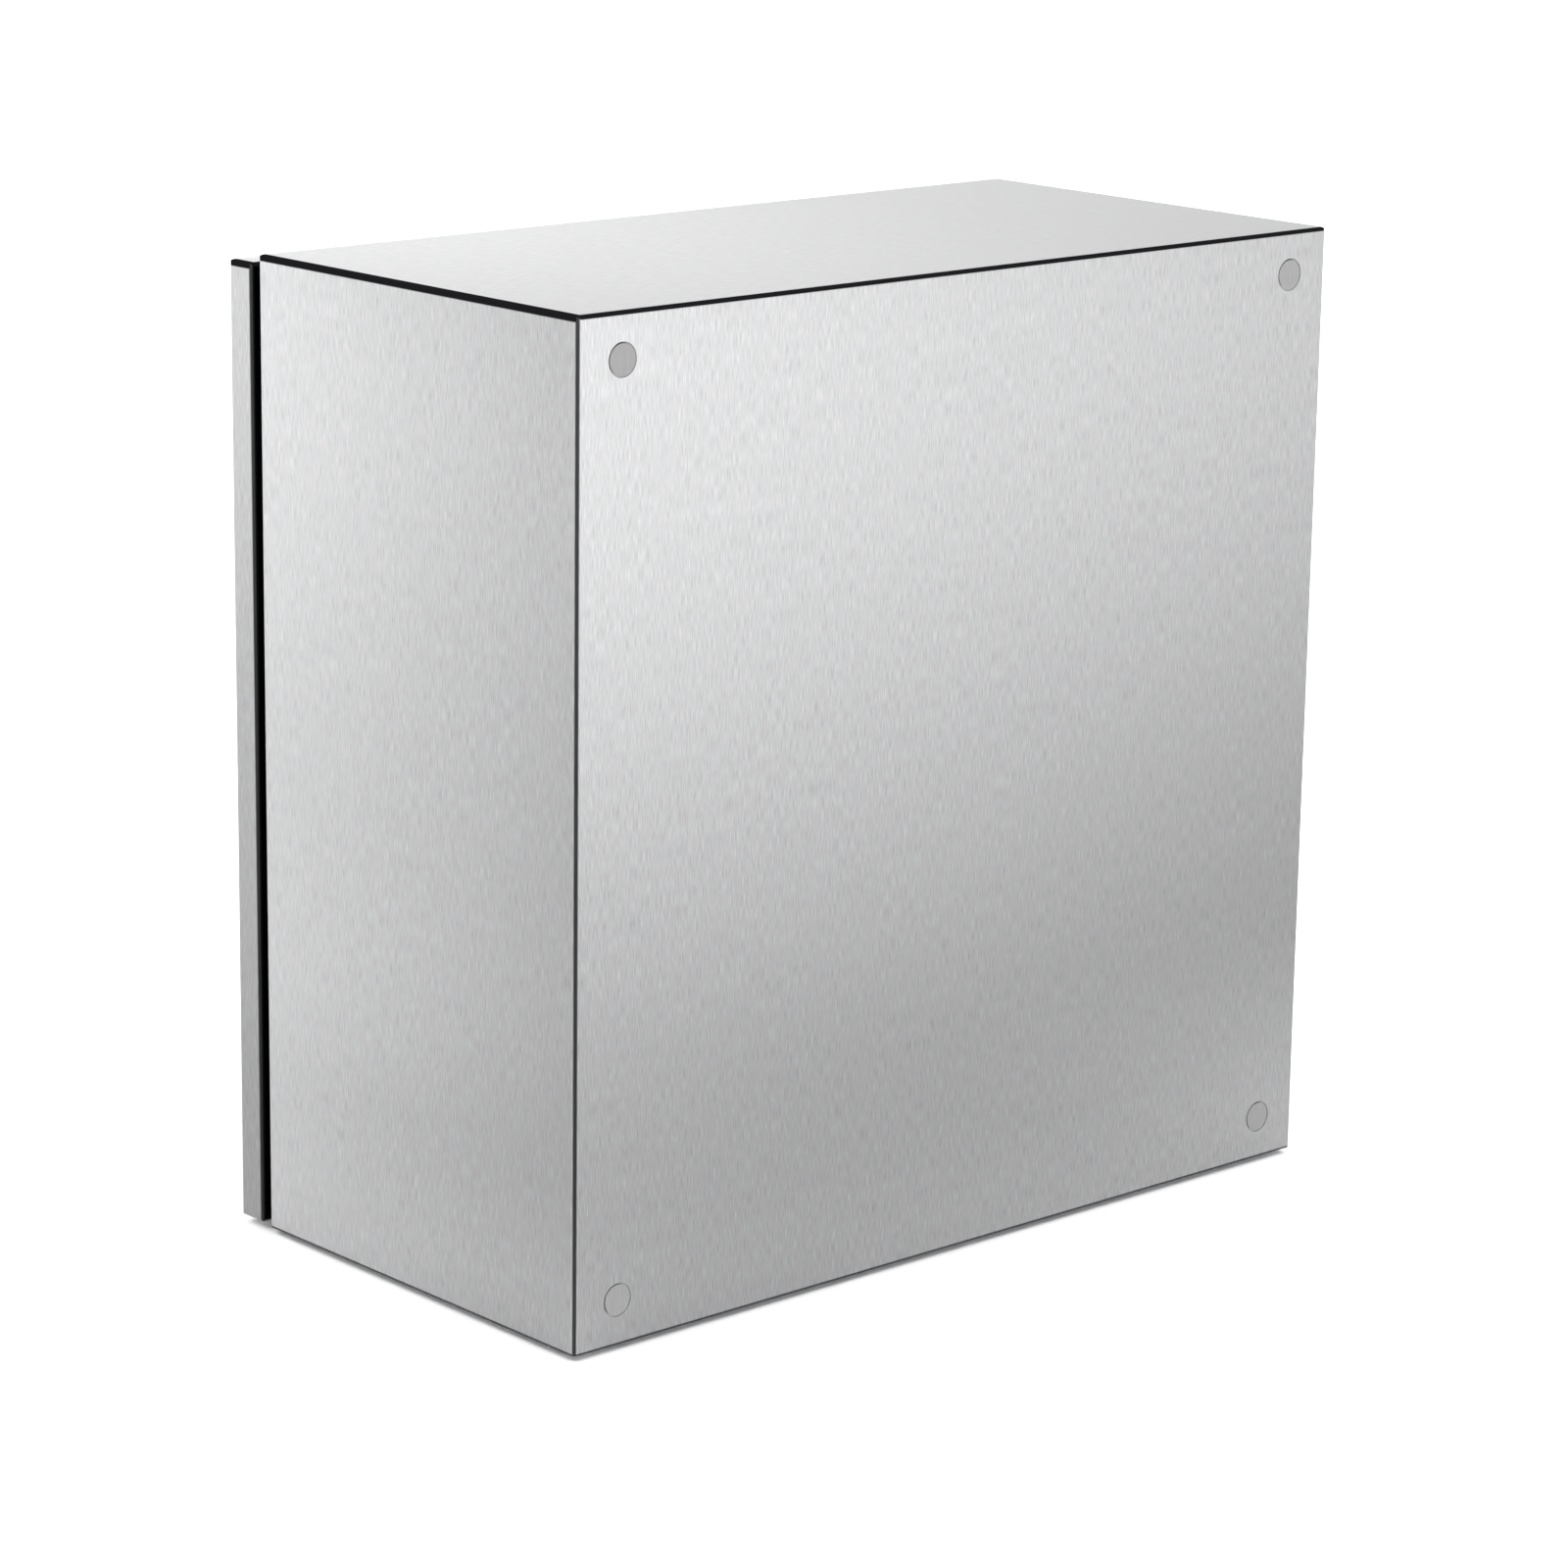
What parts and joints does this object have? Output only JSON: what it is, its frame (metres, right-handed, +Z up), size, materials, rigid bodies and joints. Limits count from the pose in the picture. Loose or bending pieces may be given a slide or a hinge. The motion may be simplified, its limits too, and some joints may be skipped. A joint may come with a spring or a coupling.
{
  "type": "trash compactor",
  "caption": "Compact drawer trash compactor: brushed steel cabinet, shadow-gapped drawer front, bin, and a ram driven by two power screws joined by a chain.",
  "frame": {"origin": "centre of the footprint, on the floor", "axes": "+Z up, the drawer front faces -Y, +X to the right seen from the front"},
  "size_m": [0.602, 0.359, 0.6],
  "materials": {
    "brushed_steel": "fine linear brushed finish",
    "galvanised_sheet": "zinc-plated sheet, satin",
    "fastener_steel": "zinc-plated, semi-gloss",
    "bearing_bronze": "turned bronze",
    "drive_steel": "oiled dark steel",
    "screw_steel": "rolled and oiled steel",
    "cast_aluminium": "die cast",
    "motor_paint": "semi-gloss dark paint",
    "winding_copper": "varnished windings",
    "white_plastic": "moulded, fine texture",
    "terminal_plastic": "moulded",
    "black_plastic": "moulded, fine texture",
    "liner_plastic": "moulded, satin",
    "bezel_gloss": "gloss",
    "seal_rubber": "matt rubber",
    "cable_sheath": "satin sheath",
    "nylon": "natural nylon",
    "ram_paint": "textured dark paint",
    "bin_paint": "grey powder coat",
    "amber_lens": "clear gloss",
    "start_green": "satin gloss",
    "stop_red": "satin gloss",
    "key_chrome": "polished",
    "filter_carbon": "carbon-filled mat"
  },
  "bodies": {
    "cabinet": {"cabinet_top": "brushed_steel", "cabinet_rear": "brushed_steel", "cabinet_sides": "brushed_steel", "front_frame": "brushed_steel", "wall_hole_plugs": "brushed_steel", "base_pan": "galvanised_sheet", "left_side_frame": "galvanised_sheet", "right_side_frame": "galvanised_sheet", "top_crossmember": "galvanised_sheet", "drive_cover": "galvanised_sheet", "motor_bracket": "galvanised_sheet", "outer_slide_rails": "galvanised_sheet", "cabinet_screws": "fastener_steel", "screw_bearings": "bearing_bronze", "drive_chain": "drive_steel", "motor_end_bells": "cast_aluminium", "motor_housing": "motor_paint", "motor_stator": "winding_copper", "terminal_box": "white_plastic", "terminal_box_lid": "white_plastic", "terminal_block": "terminal_plastic", "cable_gland": "black_plastic", "position_sensors": "black_plastic", "fan_housing": "black_plastic", "glide_feet": "seal_rubber", "motor_lead": "cable_sheath", "filter_cartridge": "filter_carbon"},
    "drawer": {"drawer_front": "brushed_steel", "drawer_front_liner": "liner_plastic", "front_gasket": "seal_rubber", "handle": "brushed_steel", "handle_screws": "fastener_steel", "drawer_tray": "galvanised_sheet", "inner_slide_rails": "galvanised_sheet", "bin": "bin_paint", "bag_pegs": "nylon", "control_bezel": "bezel_gloss", "control_housing": "black_plastic", "status_lens": "amber_lens", "key_barrel": "key_chrome"},
    "left_slide_middle": {"left_middle_rail": "galvanised_sheet"},
    "right_slide_middle": {"right_middle_rail": "galvanised_sheet"},
    "ram": {"ram_plate": "ram_paint", "ram_cover": "ram_paint", "ram_columns": "ram_paint", "ram_beam": "ram_paint", "ram_bolts": "fastener_steel", "ram_guides": "nylon", "power_nuts": "bearing_bronze"},
    "left_screw": {"left_power_screw": "screw_steel", "left_sprocket": "drive_steel"},
    "right_screw": {"right_power_screw": "screw_steel", "right_sprocket": "drive_steel", "drive_gear": "drive_steel"},
    "motor_armature": {"motor_rotor": "screw_steel", "motor_pinion": "drive_steel"},
    "odour_fan": {"fan_rotor": "black_plastic"},
    "start_key": {"start_button": "start_green"},
    "stop_key": {"stop_button": "stop_red"},
    "lock_key": {"key_knob": "black_plastic"}
  },
  "joints": [
    {"name": "drawer_slide", "type": "slide", "parent": "cabinet", "child": "drawer", "axis": [0, -1, 0], "range_m": [0, 0.25]},
    {"name": "left_rail_slide", "type": "slide", "parent": "cabinet", "child": "left_slide_middle", "axis": [0, -1, 0], "range_m": [0, 0.125]},
    {"name": "right_rail_slide", "type": "slide", "parent": "cabinet", "child": "right_slide_middle", "axis": [0, -1, 0], "range_m": [0, 0.125]},
    {"name": "motor_spin", "type": "hinge", "parent": "cabinet", "child": "motor_armature", "pos_m": [0.25241, 0.06, 0.05], "axis": [0, 0, 1], "range_deg": [-91800, 0]},
    {"name": "left_screw_spin", "type": "hinge", "parent": "cabinet", "child": "left_screw", "pos_m": [-0.25241, 0.01, 0.05], "axis": [0, 0, 1], "range_deg": [0, 16200], "deforming": ["drive_chain"]},
    {"name": "right_screw_spin", "type": "hinge", "parent": "cabinet", "child": "right_screw", "pos_m": [0.25241, 0.01, 0.05], "axis": [0, 0, 1], "range_deg": [0, 16200]},
    {"name": "ram_slide", "type": "slide", "parent": "cabinet", "child": "ram", "axis": [0, 0, -1], "range_m": [0, 0.18]},
    {"name": "fan_spin", "type": "hinge", "parent": "cabinet", "child": "odour_fan", "pos_m": [-0.218, 0.1, 0.44], "axis": [1, 0, 0], "continuous": true},
    {"name": "start_press", "type": "slide", "parent": "drawer", "child": "start_key", "axis": [0, 1, 0], "range_m": [0, 0.002], "stiffness_N_per_m": 500},
    {"name": "stop_press", "type": "slide", "parent": "drawer", "child": "stop_key", "axis": [0, 1, 0], "range_m": [0, 0.002], "stiffness_N_per_m": 500},
    {"name": "key_turn", "type": "hinge", "parent": "drawer", "child": "lock_key", "pos_m": [0.048, -0.1415, 0.556], "axis": [0, 1, 0], "range_deg": [0, 90]}
  ],
  "couplings": [
    {"joint": "left_rail_slide", "follows": "drawer_slide", "ratio": 0.5},
    {"joint": "right_rail_slide", "follows": "drawer_slide", "ratio": 0.5},
    {"joint": "left_screw_spin", "follows": "ram_slide", "rad_per_m": 1570.8},
    {"joint": "right_screw_spin", "follows": "ram_slide", "rad_per_m": 1570.8},
    {"joint": "motor_spin", "follows": "ram_slide", "rad_per_m": -8901.2}
  ]
}
